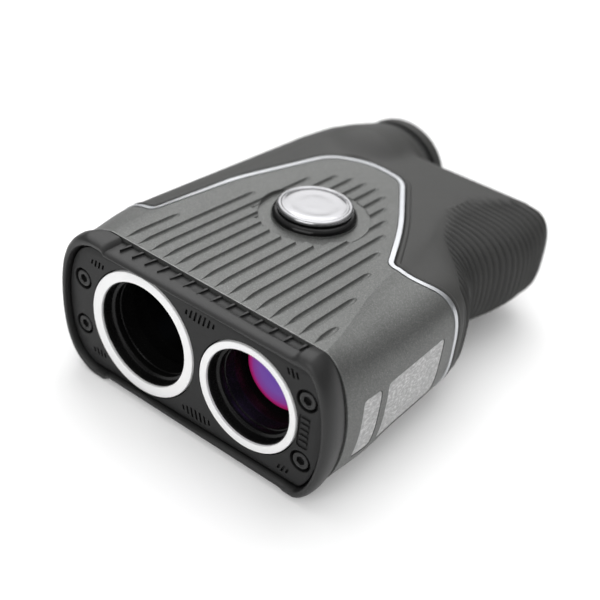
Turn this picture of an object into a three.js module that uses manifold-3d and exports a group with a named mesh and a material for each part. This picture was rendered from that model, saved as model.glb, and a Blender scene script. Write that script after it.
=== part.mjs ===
// A golf laser rangefinder lying on its side, as an assembly of separate solids in millimetres.
// Inside the model: X runs across the two lenses (objective at -X, receiver at +X), Y runs back along
// the optical axis from the face of the front plate, Z is the thickness, with 0 on the mid plane.
import * as THREE from "three";
import { mergeVertices } from "three/addons/utils/BufferGeometryUtils.js";
import Module from "manifold-3d";

const wasm = await Module();
wasm.setup();

// ---------------------------------------------------------------- driving dimensions
const GAP = 0.3; // clearance between neighbouring solids
const OBJECTIVE = { x: -15.5, ringOuter: 15.6, ringInner: 13.0 };
const RECEIVER = { x: 15.5, ringOuter: 13.25, ringInner: 11.5 };
const PLATE = { front: 0, back: 2.4 };
const BEZEL = { front: -1.4, back: 4.7 };
const SHELL_FRONT = 5; // front edge of the grey sleeve
const BODY_REAR = 104; // rear face of the rubber armour
const SKIN = 1.5; // wall of the grey sleeve and of the rubber armour
const HOUSING_OUT = SKIN + 0.25; // outside of the inner housing, measured in from the skin
const HOUSING_IN = HOUSING_OUT + 1.3;
const PLATEAU = { z: 18.4, perY: -0.0425, perX: -0.02 }; // the flat sides of the wedge
const GROOVES = { count: 15, firstX: -26.2, pitch: 3.8, width: 1.3, depth: 0.7 };
const TRIM = { width: 1.2, proud: 0.25 };
const DISC = { x: -5.9, y: 48.9, radius: 9.5, top: 19.4, collar: 10.6, hole: 6.5 };
const RECESS = { radius: 13.9, floor: 16.05 }; // the level dish that the disc stands in
// The rubber swells to bossRadius round the eyepiece and narrows again to its own rear face.
const EYEPIECE = { x: -22, bossRadius: 19, collar: 14.4, bore: 12.1, rear: 116.8 };
const BOSS_END = { y: 109.4, radius: 15.9 };
const DIOPTER = { radius: 15.3, front: 109.7, rear: 111.5, ribs: 16, ribRadius: 0.8 };
const EYECUP = { radius: 15.4, front: 112.6, opening: 9.8, lip: 1.6 };
const BATTERY = { x: 15.5, radius: 7.8, front: 69, length: 27 }; // CR2 cell
const CAP = { radius: 9.4, front: 97.6, rear: 105 };
const FIRE = { y: 78, radius: 7.2 };
const MODE = { y: 57, radius: 5 };
const SLIDER = { y: 36, length: 7, width: 4.4, travel: 4 };
const REST = 19; // half of the overall thickness: the bezel's ears and the eyepiece swelling touch a table
const LONG_EDGE = 17.7; // half height of the bezel between its ears
const SCREWS = [
  [-34.4, 6.4],
  [-34.4, -6.4],
  [30.7, 8.1],
  [30.7, -8.1],
];
const ROUND = 28; // facets round a large circle
const SMALL_ROUND = 12;

const MATERIALS = {
  shell: paint(0x7a7c7b, 0.42, 0.55),
  rubber: paint(0x33333a, 0.75, 0),
  bezel: paint(0x2a2b2c, 0.6, 0),
  plate: paint(0x3c3d3f, 0.5, 0.1),
  white: paint(0xf2f2f2, 0.4, 0),
  silver: paint(0xd6d8dc, 0.2, 0.9),
  chrome: paint(0xf0f0f2, 0.08, 1),
  black: paint(0x101012, 0.5, 0.2),
  steel: paint(0x6a6c70, 0.35, 0.9),
  brass: paint(0xb08d4a, 0.35, 0.9),
  glass: paint(0x9a63c8, 0.05, 0),
  clear: paint(0xcfd8dc, 0.05, 0),
  board: paint(0x1d5a37, 0.6, 0),
  cell: paint(0x2f5a8c, 0.4, 0.3),
};

function paint(color, roughness, metalness) {
  return new THREE.MeshStandardMaterial({ color, roughness, metalness });
}

// ---------------------------------------------------------------- solids
function toSolid(geometry) {
  const bare = geometry.index ? geometry.toNonIndexed() : geometry.clone();
  for (const name of Object.keys(bare.attributes)) if (name !== "position") bare.deleteAttribute(name);
  const merged = mergeVertices(bare, 1e-4);
  return new wasm.Manifold(
    new wasm.Mesh({
      numProp: 3,
      vertProperties: new Float32Array(merged.attributes.position.array),
      triVerts: new Uint32Array(merged.index.array),
    }),
  );
}

function toGeometry(solid) {
  const mesh = solid.getMesh();
  const points = new Float32Array(mesh.numVert * 3);
  for (let i = 0; i < mesh.numVert; i++) {
    points.set(mesh.vertProperties.subarray(i * mesh.numProp, i * mesh.numProp + 3), i * 3);
  }
  const geometry = new THREE.BufferGeometry();
  geometry.setAttribute("position", new THREE.BufferAttribute(points, 3));
  geometry.setIndex(new THREE.BufferAttribute(new Uint32Array(mesh.triVerts), 1));
  return geometry;
}

const join = (first, ...rest) => rest.reduce((sum, next) => sum.add(next), first);
const cut = (first, ...rest) => rest.reduce((left, next) => left.subtract(next), first);

// A disc or cone standing along Y, from y0 to y1.
function rod(x, z, radius, y0, y1, facets = ROUND, radiusEnd = radius) {
  const geometry = new THREE.CylinderGeometry(radiusEnd, radius, y1 - y0, facets);
  return toSolid(geometry.translate(x, (y0 + y1) / 2, z));
}

function tube(x, z, outer, inner, y0, y1, facets = ROUND) {
  return cut(rod(x, z, outer, y0, y1, facets), rod(x, z, inner, y0 - 1, y1 + 1, facets));
}

// A disc standing along X or Z.
function rodX(y, z, radius, x0, x1, facets = SMALL_ROUND) {
  const geometry = new THREE.CylinderGeometry(radius, radius, x1 - x0, facets).rotateZ(Math.PI / 2);
  return toSolid(geometry.translate((x0 + x1) / 2, y, z));
}

function rodZ(x, y, radius, z0, z1, facets = ROUND) {
  const geometry = new THREE.CylinderGeometry(radius, radius, z1 - z0, facets).rotateX(Math.PI / 2);
  return toSolid(geometry.translate(x, y, (z0 + z1) / 2));
}

function box(x0, x1, y0, y1, z0, z1) {
  const geometry = new THREE.BoxGeometry(x1 - x0, y1 - y0, z1 - z0);
  return toSolid(geometry.translate((x0 + x1) / 2, (y0 + y1) / 2, (z0 + z1) / 2));
}

// A lens with two bulging faces, turned about its own axis along Y.
function lens(x, radius, yFront, edge, bulge) {
  const profile = [new THREE.Vector2(0, -bulge)];
  const steps = 3;
  for (let i = 1; i <= steps; i++) {
    const r = (radius * i) / steps;
    profile.push(new THREE.Vector2(r, -bulge * (1 - (r / radius) ** 2)));
  }
  for (let i = steps; i >= 0; i--) {
    const r = (radius * i) / steps;
    profile.push(new THREE.Vector2(r, edge + bulge * (1 - (r / radius) ** 2)));
  }
  return toSolid(new THREE.LatheGeometry(profile, ROUND).translate(x, yFront, 0));
}

// A shape drawn in plan (x, y) and raised from z0 to z1.
function prism(points, z0, z1) {
  const shape = new THREE.Shape(points);
  const geometry = new THREE.ExtrudeGeometry(shape, { depth: z1 - z0, bevelEnabled: false });
  return toSolid(geometry.translate(0, 0, z0));
}

// Corners rounded by quadratic curves that start a distance r before each corner.
function roundCorners(corners, radii, steps = 4) {
  const out = [];
  corners.forEach((corner, i) => {
    const r = radii[i];
    if (!r) return out.push(corner.clone());
    const before = corners[(i + corners.length - 1) % corners.length];
    const after = corners[(i + 1) % corners.length];
    const a = corner.clone().lerp(before, r / corner.distanceTo(before));
    const b = corner.clone().lerp(after, r / corner.distanceTo(after));
    out.push(...new THREE.QuadraticBezierCurve(a, corner, b).getPoints(steps));
  });
  return out;
}

// ---------------------------------------------------------------- body envelope
// Each row is [y, value]; between rows the value is interpolated.
function along(rows, y) {
  if (y <= rows[0][0]) return rows[0][1];
  for (let i = 1; i < rows.length; i++) {
    const [y1, v1] = rows[i];
    const [y0, v0] = rows[i - 1];
    if (y <= y1) return v0 + ((v1 - v0) * (1 - Math.cos((Math.PI * (y - y0)) / (y1 - y0)))) / 2;
  }
  return rows[rows.length - 1][1];
}

const LEFT_SIDE = [[0, -41.5], [20, -43.8], [84, -43.8], [104, -41]];
const LEFT_CREASE = [[0, -30], [22, -31], [104, -31]];
const LEFT_POWER = [[0, 1.9], [22, 2.7], [104, 2.6]];
const RIGHT_SIDE = [[0, 37.8], [20, 38.6], [50, 38.4], [68, 31.8], [90, 35.6], [104, 35.4]];
const RIGHT_CREASE = [[0, 30.5], [42, 22.8], [58, 20], [78, 15], [88, 15.5], [104, 27]];
const RIGHT_POWER = [[0, 1.8], [20, 2.6], [42, 3.1], [52, 3], [64, 2.2], [82, 2.9], [104, 2.9]];
const SLOPE_AT_CREASE = 2.4; // how far the flank has dropped from the flat part, mm
const SIDE_STEPS = 5;
const REAR_FILLET = 4;

const plateauZ = (x, y) => PLATEAU.z + PLATEAU.perY * y + PLATEAU.perX * x;

// The upper half of the cross-section at depth y, from the right side over to the left, moved in by inset.
function upperOutline(y, inset) {
  const points = [];
  const side = (edge, crease, power, direction) => {
    const out = [];
    const reach = Math.abs(edge - crease) - inset;
    const height = plateauZ(crease, y) - inset;
    for (let i = 0; i <= SIDE_STEPS; i++) {
      const angle = ((Math.PI / 2) * i) / SIDE_STEPS;
      const u = Math.cos(angle) ** (2 / power);
      const v = Math.sin(angle) ** (2 / power);
      const drop = SLOPE_AT_CREASE * u * (1 - u) ** 2;
      out.push(new THREE.Vector2(crease + direction * reach * u, Math.max(height * v - drop, 0)));
    }
    return out;
  };
  points.push(...side(along(RIGHT_SIDE, y), along(RIGHT_CREASE, y), along(RIGHT_POWER, y), 1));
  points.push(...side(along(LEFT_SIDE, y), along(LEFT_CREASE, y), along(LEFT_POWER, y), -1).reverse());
  return points;
}

// The closed cross-section: the upper half and its mirror image.
function section(y, inset) {
  const upper = upperOutline(y, inset);
  const lower = upper.slice(1, -1).reverse();
  return [...upper, ...lower.map((p) => new THREE.Vector2(p.x, -p.y))].map(
    (p) => new THREE.Vector3(p.x, y, p.y),
  );
}

// A closed solid through a list of rings that all have the same number of points.
function loft(rings) {
  const n = rings[0].length;
  const position = rings.flat().flatMap((p) => [p.x, p.y, p.z]);
  const index = [];
  for (let r = 0; r + 1 < rings.length; r++) {
    for (let i = 0; i < n; i++) {
      const j = (i + 1) % n;
      const [a, b, c, d] = [r * n + i, r * n + j, (r + 1) * n + j, (r + 1) * n + i];
      index.push(a, b, c, a, c, d);
    }
  }
  const cap = (start, facing) => {
    const flat = rings[start / n].map((p) => new THREE.Vector2(p.x, p.z));
    for (const [a, b, c] of THREE.ShapeUtils.triangulateShape(flat, [])) {
      index.push(start + a, start + (facing ? b : c), start + (facing ? c : b));
    }
  };
  cap(0, false);
  cap((rings.length - 1) * n, true);
  const geometry = new THREE.BufferGeometry();
  geometry.setAttribute("position", new THREE.Float32BufferAttribute(position, 3));
  geometry.setIndex(index);
  const solid = toSolid(geometry);
  if (solid.volume() > 0) return solid;
  geometry.setIndex(index.map((_, k) => index[k - (k % 3) + [0, 2, 1][k % 3]]));
  return toSolid(geometry);
}

// The body's outside moved in by inset and cut square at y0 and y1. All insets share the same stations,
// so that nested skins never touch. The armour's own outside ends in a rounded rear edge instead.
const STATIONS = [-6, 5, 20, 42, 55, 64, 74, 86, BODY_REAR - REAR_FILLET];
function envelope(inset, y0, y1, rounded = false) {
  const rings = STATIONS.map((y) => section(y, inset));
  for (const share of rounded ? [0.35, 0.7, 1] : []) {
    const angle = (Math.PI / 2) * share;
    const back = BODY_REAR - REAR_FILLET * (1 - Math.sin(angle));
    rings.push(section(back, inset + REAR_FILLET * (1 - Math.cos(angle))));
  }
  if (!rounded) rings.push(section(BODY_REAR + 6, inset));
  return loft(rings).intersect(box(-80, 80, y0, y1, -40, 40));
}

// The plan of everything behind the silver line, on both flat sides and down both edges.
const V = (x, y) => new THREE.Vector2(x, y);
function armourPlan(offset) {
  const corners = [
    V(-70, 18.6), V(-32, 20), V(-30.3, 47.5), V(-23.4, 79), V(-13.6, 84.6),
    V(-1.9, 82.8), V(12.2, 60.4), V(20.4, 43), V(29, 43), V(38, 46.5), V(70, 47), V(70, 140), V(-70, 140),
  ];
  const radii = [0, 3.5, 6, 5, 5, 4, 8, 2, 3, 3, 0, 0, 0];
  const line = roundCorners(corners, radii, 3);
  if (!offset) return line;
  // moves each point along the line's normal, towards the front
  return line.map((p, i) => {
    const before = line[Math.max(i - 1, 0)];
    const after = line[Math.min(i + 1, line.length - 1)];
    if (Math.abs(p.x) > 60) return p.y > 100 ? p.clone() : V(p.x, p.y - offset);
    const course = after.clone().sub(before).normalize();
    return V(p.x + course.y * offset, p.y - course.x * offset);
  });
}

// ---------------------------------------------------------------- assembly
const parts = new THREE.Group();
function add(name, solid, material) {
  const mesh = new THREE.Mesh(toGeometry(solid), MATERIALS[material]);
  mesh.name = name;
  parts.add(mesh);
}

const behindTrim = prism(armourPlan(-TRIM.width / 2 - GAP / 2), -40, 40);
const behindTrimFront = prism(armourPlan(TRIM.width / 2 + GAP / 2), -40, 40);
const trimBand = cut(prism(armourPlan(TRIM.width / 2), -40, 40), prism(armourPlan(-TRIM.width / 2), -40, 40));

// The openings that the skin and the housing share.
const eyeBoss = join(
  rod(EYEPIECE.x, 0, 13, 80, 95, ROUND, EYEPIECE.bossRadius),
  rod(EYEPIECE.x, 0, EYEPIECE.bossRadius, 94.9, 96.5),
  rod(EYEPIECE.x, 0, EYEPIECE.bossRadius, 96.4, BOSS_END.y, ROUND, BOSS_END.radius),
);
const fireHole = rodX(FIRE.y, 0, FIRE.radius + GAP, -60, -36, 20);
const modeHole = rodX(MODE.y, 0, MODE.radius + GAP, -60, -36);
const sliderSlot = box(-60, -42.1, SLIDER.y - 3.8, SLIDER.y + SLIDER.travel + 3.8, -2.5, 2.5);
const sliderStemSlot = box(-60, -36, SLIDER.y - 1.7, SLIDER.y + SLIDER.travel + 1.7, -1.7, 1.7);
const magnetHole = rodZ(DISC.x, DISC.y, DISC.hole, 8, 30, SMALL_ROUND);

// Front bezel: a black lip, a narrower band behind it, and a flange behind the front plate.
const bothBores = (grow, y0, y1) => [
  rod(OBJECTIVE.x, 0, 14.5 + grow, y0, y1),
  rod(RECEIVER.x, 0, 12.9 + grow, y0, y1),
];
const screwHoles = (radius, y0, y1) => SCREWS.map(([x, z]) => rod(x, z, radius, y0, y1, SMALL_ROUND));
function frontBezel() {
  const ears = cut(envelope(-1.2, BEZEL.front, 1.2), box(-27, 27.5, -5, 5, -30, 30));
  const edge = envelope(-0.1, BEZEL.front, 1.2).intersect(box(-60, 60, -5, 5, -LONG_EDGE, LONG_EDGE));
  const lip = join(edge, ears.intersect(box(-60, 60, -5, 5, -REST, REST)));
  return cut(
    join(lip, envelope(1.1, 1.1, BEZEL.back)),
    envelope(2, BEZEL.front - 1, 2.6).intersect(box(-60, 60, -5, 5, 1.2 - LONG_EDGE, LONG_EDGE - 1.2)),
    ...bothBores(GAP, -5, 8),
    ...screwHoles(1.4, -5, 8),
  );
}
add("front_bezel", frontBezel(), "bezel");

// Front plate with its two ring seats and four counterbores.
const frontPlate = cut(
  envelope(2.3, PLATE.front, PLATE.back).intersect(box(-60, 60, -5, 5, 1.5 - LONG_EDGE, LONG_EDGE - 1.5)),
  rod(OBJECTIVE.x, 0, OBJECTIVE.ringOuter + 0.1, -1, 3),
  rod(RECEIVER.x, 0, RECEIVER.ringOuter + 0.1, -1, 3),
  ...screwHoles(1.4, -1, 3),
  ...screwHoles(2.5, -1, 1.7),
);
add("front_plate", frontPlate, "plate");
const accentRing = (at) => tube(at.x, 0, at.ringOuter, at.ringInner, -0.3, PLATE.back);
add("objective_accent_ring", accentRing(OBJECTIVE), "white");
add("receiver_accent_ring", accentRing(RECEIVER), "white");

// Hex socket screws that hold the plate and the bezel to the housing.
SCREWS.forEach(([x, z], i) => {
  const socket = rod(x, z, 1.2, -1, 1, 6);
  const screw = join(rod(x, z, 2.2, -0.1, 1.6, SMALL_ROUND), rod(x, z, 1.1, 1.4, 15, SMALL_ROUND));
  add(`bezel_screw_${i + 1}`, cut(screw, socket), "steel");
});

// Gasket between the bezel and the housing.
add("front_seal", cut(envelope(2, 4.85, 8.4), envelope(3.6, 4, 9)), "rubber");

// Front shell: the grooved grey sleeve with the level recess for the disc.
const GROOVE_ENDS = [
  [-30, 12], [-26.2, 23], [-22.4, 46], [-18.6, 64], [-14.8, 71], [-11, 73], [-3.4, 73.5],
  [0.4, 71], [4.2, 66], [8, 60.5], [11.8, 54], [15.6, 46], [19.4, 36.8], [23.2, 25.7], [27, 14],
];
function groove(x, side) {
  const front = 8;
  const rear = along(GROOVE_ENDS, x) - 0.8;
  const middle = (front + rear) / 2;
  const geometry = new THREE.CylinderGeometry(GROOVES.width / 2, GROOVES.width / 2, rear - front, 6);
  geometry.rotateX(Math.atan(PLATEAU.perY));
  geometry.translate(x, middle, plateauZ(x, middle) + GROOVES.width / 2 - GROOVES.depth);
  if (side < 0) geometry.rotateY(Math.PI).translate(2 * x, 0, 0);
  return toSolid(geometry);
}

const labelPocket = cut(box(30, 60, 17.3, 41.5, -9.3, 5.9), envelope(0.8, SHELL_FRONT, 60));
function frontShell() {
  const skin = cut(envelope(0, SHELL_FRONT, 88), envelope(SKIN, SHELL_FRONT - 1, 89), behindTrimFront);
  const recess = rodZ(DISC.x, DISC.y, RECESS.radius, RECESS.floor, 30, 36);
  const pad = rodZ(DISC.x, DISC.y, 11.5, RECESS.floor - 0.4, RECESS.floor);
  const lines = [];
  for (let i = 0; i < GROOVES.count; i++) {
    const x = GROOVES.firstX + i * GROOVES.pitch;
    lines.push(groove(x, 1), groove(x, -1));
  }
  return cut(join(cut(skin, recess, labelPocket, ...lines), pad), magnetHole);
}
add("front_shell", frontShell(), "shell");

// A plain plate that fills the label pocket on the grip side.
const labelBand = cut(envelope(0.3, SHELL_FRONT, 60), envelope(0.7, SHELL_FRONT - 1, 61));
add("label_plate", labelBand.intersect(box(30, 60, 17.6, 41.2, -9, 5.6)), "plate");

// Silver trim: a closed loop between the shell and the armour.
const trimSkin = cut(envelope(-TRIM.proud, 11, 90), envelope(SKIN - 0.5, 10, 91));
add("silver_trim", trimSkin.intersect(trimBand), "silver");

// Rubber armour: the black rear boot.
function rubberArmour() {
  const hollow = [
    envelope(SKIN, 11, BODY_REAR - SKIN),
    rod(EYEPIECE.x, 0, EYEPIECE.collar + GAP, 97, BOSS_END.y + 1),
    rod(BATTERY.x, 0, CAP.radius + GAP, 90, BODY_REAR + 1),
  ];
  const skin = cut(join(envelope(0, 12, BODY_REAR, true), eyeBoss), ...hollow);
  return cut(skin.intersect(behindTrim), fireHole, modeHole, sliderSlot);
}
add("rubber_armour", rubberArmour(), "rubber");

// Main housing: the inner shell that everything is fixed to.
function mainHousing() {
  const rear = BODY_REAR - SKIN - GAP;
  const wall = cut(envelope(HOUSING_OUT, 8.6, rear), envelope(HOUSING_IN, 8, rear - 2));
  const bosses = SCREWS.flatMap(([x, z]) => {
    const outward = Math.sign(x);
    const webEnd = x + 5.5 * outward;
    const web = box(Math.min(x, webEnd), Math.max(x, webEnd), 8.6, 17, z - 1.2, z + 1.2);
    return [rod(x, z, 2.9, 8.6, 17, SMALL_ROUND), web.intersect(envelope(HOUSING_OUT + 0.4, 8, 20))];
  });
  const collar = rod(EYEPIECE.x, 0, EYEPIECE.collar, 97.3, BOSS_END.y - 0.6);
  return cut(
    join(wall, ...bosses, collar),
    rod(EYEPIECE.x, 0, EYEPIECE.bore, 77, BOSS_END.y + 1),
    rod(BATTERY.x, 0, CAP.radius + GAP, 90, BODY_REAR + 2),
    ...screwHoles(1.3, 8, 18),
    magnetHole,
    fireHole,
    modeHole,
    rodX(FIRE.y, 0, FIRE.radius + 1.1, -40.5, -36, 20),
    rodX(MODE.y, 0, MODE.radius + 1.1, -40.5, -36),
    sliderStemSlot,
  );
}
add("main_housing", mainHousing(), "black");

// ---------------------------------------------------------------- disc on the broad side
function turnedZ(profile, x, y) {
  const points = profile.map(([r, z]) => new THREE.Vector2(r, z));
  return toSolid(new THREE.LatheGeometry(points, ROUND).rotateX(Math.PI / 2).translate(x, y, 0));
}
const collarTop = DISC.top - 1.8;
const collarFoot = RECESS.floor + 0.05;
const seatProfile = [
  [7, collarFoot], [DISC.collar, collarFoot], [DISC.collar, collarTop - 0.6], [DISC.radius, collarTop],
  [7, collarTop], [7, collarFoot],
];
add("disc_seat_ring", turnedZ(seatProfile, DISC.x, DISC.y), "black");
const discProfile = [
  [0, collarTop + 0.1], [DISC.radius, collarTop + 0.1], [DISC.radius, DISC.top - 0.8],
  [DISC.radius - 0.5, DISC.top - 0.2], [DISC.radius - 1.4, DISC.top], [0, DISC.top],
];
add("magnet_disc", turnedZ(discProfile, DISC.x, DISC.y), "chrome");
add("cart_magnet", rodZ(DISC.x, DISC.y, DISC.hole - GAP, 12.9, collarTop, SMALL_ROUND), "steel");

// ---------------------------------------------------------------- optics
const objectiveBarrel = join(
  tube(OBJECTIVE.x, 0, 14.5, 12.6, 2.7, 18),
  tube(OBJECTIVE.x, 0, 13.4, 12.2, 17, 34.2),
);
add("objective_barrel", objectiveBarrel, "black");
add("objective_retaining_ring", tube(OBJECTIVE.x, 0, 12.45, 11.2, 5, 7), "black");
add("objective_lens", lens(OBJECTIVE.x, 12.3, 9, 3, 1.2), "glass");
add("receiver_barrel", tube(RECEIVER.x, 0, 12.9, 11, 2.7, 30), "black");
add("receiver_retaining_ring", tube(RECEIVER.x, 0, 10.85, 9.9, 3, 4.4), "black");
add("receiver_lens", lens(RECEIVER.x, 10.8, 5.8, 3, 1), "glass");

// The prism block spans both axes, because the eyepiece stands further out than the objective.
const PRISM = { left: -30, right: -5.3, front: 42, rear: 56, half: 9 };
const deck = box(PRISM.left - 1.3, 4, 36, 60, -10.2, -9.3);
const frontWall = cut(
  box(-31, 28, 34.5, 36.2, -10.2, 10.2),
  rod(OBJECTIVE.x, 0, 9, 30, 40, SMALL_ROUND),
  rod(RECEIVER.x, 0, 8, 30, 40, SMALL_ROUND),
);
add("optical_chassis", join(frontWall, deck), "black");
add("prism_block", box(PRISM.left, PRISM.right, PRISM.front, PRISM.rear, -PRISM.half, PRISM.half), "clear");
const cheek = (x0, x1) => box(x0, x1, PRISM.front, PRISM.rear, -PRISM.half, PRISM.half + 0.5);
const prismHolder = join(
  box(PRISM.left - 1.3, PRISM.right + 1.3, PRISM.front, PRISM.rear, PRISM.half + 0.2, PRISM.half + 1.2),
  cheek(PRISM.left - 1.3, PRISM.left - GAP),
  cut(cheek(PRISM.right + GAP, PRISM.right + 1.3), rodX(49, 0, 3.4, PRISM.right - 1, PRISM.right + 2)),
);
add("prism_holder", prismHolder, "black");
add("laser_diode", rodX(49, 0, 2.8, -3.6, 3), "brass");
const displayFrame = box(EYEPIECE.x - 9, EYEPIECE.x + 9, 60.5, 63, -8, 8);
add("display_module", cut(displayFrame, rod(EYEPIECE.x, 0, 5, 60, 64, SMALL_ROUND)), "board");
add("detector", rod(RECEIVER.x, 0, 4.2, 45, 48.5, SMALL_ROUND), "brass");
add("detector_board", box(6, 25, 48.8, 50, -8, 8), "board");
add("main_board", box(-28, 18, 38, 66, -11.7, -10.5), "board");

// ---------------------------------------------------------------- eyepiece
const barrelRear = EYEPIECE.rear - 2;
add("eyepiece_barrel", tube(EYEPIECE.x, 0, EYEPIECE.bore - GAP, 10.3, 80, barrelRear), "black");
add("eyepiece_lens", lens(EYEPIECE.x, 10.1, 107.5, 3, 1.4), "glass");
function diopterRing() {
  const ribs = [];
  for (let i = 0; i < DIOPTER.ribs; i++) {
    const angle = ((i + 0.5) * 2 * Math.PI) / DIOPTER.ribs;
    const reach = DIOPTER.radius + 0.35;
    const x = EYEPIECE.x + reach * Math.sin(angle);
    ribs.push(rod(x, reach * Math.cos(angle), DIOPTER.ribRadius, DIOPTER.front - 1, DIOPTER.rear + 1, 6));
  }
  return cut(tube(EYEPIECE.x, 0, DIOPTER.radius, EYEPIECE.bore, DIOPTER.front, DIOPTER.rear), ...ribs);
}
add("diopter_ring", diopterRing(), "bezel");
const grip = EYEPIECE.bore - GAP / 2; // the cup grips the barrel here
const cupProfile = [
  [grip, EYECUP.front], [EYECUP.radius, EYECUP.front], [EYECUP.radius, EYECUP.front + 2.6],
  [15.2, EYEPIECE.rear - 0.6], [14.7, EYEPIECE.rear], [EYECUP.opening, EYEPIECE.rear],
  [EYECUP.opening, EYEPIECE.rear - EYECUP.lip], [grip, EYEPIECE.rear - EYECUP.lip], [grip, EYECUP.front],
];
const cupGeometry = new THREE.LatheGeometry(cupProfile.map(([r, y]) => V(r, y)), ROUND);
add("eyecup", toSolid(cupGeometry.translate(EYEPIECE.x, 0, 0)), "rubber");

// ---------------------------------------------------------------- controls on the top edge
function pushButton(y, radius, facets) {
  const cap = rodX(y, 0, radius, -44.6, -40.2, facets);
  return join(cap, rodX(y, 0, radius + 0.8, -40.3, -39.3, facets), rodX(y, 0, 1.6, -39.4, -38.6, 12));
}
add("fire_button", pushButton(FIRE.y, FIRE.radius, 20), "rubber");
add("mode_button", pushButton(MODE.y, MODE.radius, SMALL_ROUND), "rubber");
const knob = box(-44.6, -42.4, SLIDER.y - SLIDER.length / 2, SLIDER.y + SLIDER.length / 2, -2.2, 2.2);
add("slope_slider", join(knob, box(-42.5, -39.4, SLIDER.y - 1.3, SLIDER.y + 1.3, -1.3, 1.3)), "bezel");
add("fire_switch", box(-37.4, -36.1, FIRE.y - 2.2, FIRE.y + 2.2, -2.2, 2.2), "steel");
add("mode_switch", box(-37.4, -36.1, MODE.y - 2.2, MODE.y + 2.2, -2.2, 2.2), "steel");
add("slide_switch", box(-39.1, -36.1, SLIDER.y - 3.4, SLIDER.y + 7.4, -2.4, 2.4), "steel");
add("side_board", box(-36, -34.8, 30, 90, -7, 7), "board");

// ---------------------------------------------------------------- battery
add("battery_tube", tube(BATTERY.x, 0, 9, 8.1, 66.5, 97.3), "black");
const cellRear = BATTERY.front + BATTERY.length;
add("battery", join(
  rod(BATTERY.x, 0, BATTERY.radius, BATTERY.front, cellRear - 1),
  rod(BATTERY.x, 0, 3, cellRear - 1.2, cellRear, SMALL_ROUND),
), "cell");
add("battery_spring", tube(BATTERY.x, 0, 4, 2.8, 66.8, 68.8, SMALL_ROUND), "steel");
const lug = (x) => box(x - 0.5, x + 0.5, CAP.rear - 0.2, CAP.rear + 2.6, -1.3, 1.3);
const pinHole = rodX(CAP.rear + 1.4, 0, 0.75, 0, 40, 12);
const batteryCap = join(
  rod(BATTERY.x, 0, 8.85, CAP.front, 102.6),
  rod(BATTERY.x, 0, CAP.radius, 102.4, CAP.rear),
  lug(BATTERY.x - 6.8),
  lug(BATTERY.x + 6.8),
);
add("battery_cap", cut(batteryCap, pinHole, tube(BATTERY.x, 0, 9.2, 8.2, 99, 100.2)), "bezel");
add("battery_cap_seal", tube(BATTERY.x, 0, 9.2, 8.3, 99.1, 100.1), "rubber");
const loop = tube(BATTERY.x, 0, 6, 3.8, CAP.rear + 0.8, CAP.rear + 2).intersect(box(0, 40, 90, 120, 0, 20));
const tab = cut(join(loop, rodX(CAP.rear + 1.4, 0, 1.2, BATTERY.x - 6, BATTERY.x + 6, 16)), pinHole);
add("battery_cap_tab", tab, "steel");
add("battery_tab_pin", rodX(CAP.rear + 1.4, 0, 0.55, BATTERY.x - 7.3, BATTERY.x + 7.3, 12), "steel");

parts.position.set(2.76, -57.7, REST); // the row origin: centre of the footprint, on the table
export default parts;
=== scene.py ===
"""The looks of a golf laser rangefinder lying on its side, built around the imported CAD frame.

Shapes are worked out in millimetres in the model's own axes: X across the two lenses, Y back along the
optical axis from the face of the front plate, Z the thickness with 0 on the mid plane.
"""

import math

import bmesh
import bpy
import numpy as np
from mathutils import Matrix, Vector

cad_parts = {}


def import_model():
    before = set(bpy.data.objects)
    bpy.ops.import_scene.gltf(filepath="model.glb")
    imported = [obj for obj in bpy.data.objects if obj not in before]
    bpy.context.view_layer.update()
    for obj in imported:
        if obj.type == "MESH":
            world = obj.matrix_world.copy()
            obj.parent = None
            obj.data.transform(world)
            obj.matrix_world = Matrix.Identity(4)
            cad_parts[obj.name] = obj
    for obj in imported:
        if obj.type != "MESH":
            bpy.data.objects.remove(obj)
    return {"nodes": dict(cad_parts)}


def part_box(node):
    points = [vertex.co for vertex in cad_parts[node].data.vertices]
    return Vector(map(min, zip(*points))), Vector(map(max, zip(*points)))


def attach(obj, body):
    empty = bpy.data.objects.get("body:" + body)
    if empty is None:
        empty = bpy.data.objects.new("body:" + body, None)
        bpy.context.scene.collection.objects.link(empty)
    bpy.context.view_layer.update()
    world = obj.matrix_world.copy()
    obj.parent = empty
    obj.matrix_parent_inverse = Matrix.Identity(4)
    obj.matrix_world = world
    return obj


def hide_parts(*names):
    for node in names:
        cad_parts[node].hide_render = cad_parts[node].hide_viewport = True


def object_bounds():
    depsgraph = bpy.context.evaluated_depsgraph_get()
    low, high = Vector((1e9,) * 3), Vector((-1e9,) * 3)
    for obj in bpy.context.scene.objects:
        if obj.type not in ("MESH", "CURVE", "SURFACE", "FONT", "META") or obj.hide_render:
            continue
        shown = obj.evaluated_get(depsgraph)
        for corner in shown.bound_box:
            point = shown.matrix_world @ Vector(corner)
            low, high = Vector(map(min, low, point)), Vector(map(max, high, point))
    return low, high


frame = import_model()
cad_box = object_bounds()

# ---------------- places read from the frame
MM = 0.001


def box_mm(node):
    """A CAD node's low and high corners in millimetres, in the row frame."""
    low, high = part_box(node)
    return np.array(low) / MM, np.array(high) / MM


def centre_mm(node):
    low, high = box_mm(node)
    return (low + high) / 2


def drum(node):
    """Front, rear and radius of a CAD node that is round about the optical axis, in the model's axes."""
    low, high = box_mm(node)
    return low[1] - ORIGIN[1], high[1] - ORIGIN[1], (high[2] - low[2]) / 2


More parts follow.
